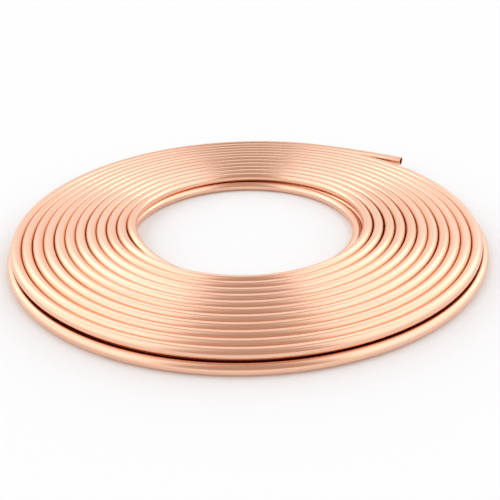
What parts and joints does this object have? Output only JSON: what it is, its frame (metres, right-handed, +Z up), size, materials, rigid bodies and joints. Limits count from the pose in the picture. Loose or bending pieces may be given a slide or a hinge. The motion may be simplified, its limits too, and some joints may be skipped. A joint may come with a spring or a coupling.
{
  "type": "copper tube coil",
  "caption": "Flat coil of round copper tube wound in two layers around an open eye, with both open ends on the outside.",
  "frame": {"origin": "on the floor under the middle of the coil's box", "axes": "+Z up along the coil's axis; the open end of the upper layer lies at the back (+Y) to the right (+X)"},
  "size_m": [0.4758, 0.4825, 0.0195],
  "materials": {
    "copper": null
  },
  "bodies": {
    "root": {"tube_coil": "copper"}
  },
  "joints": []
}
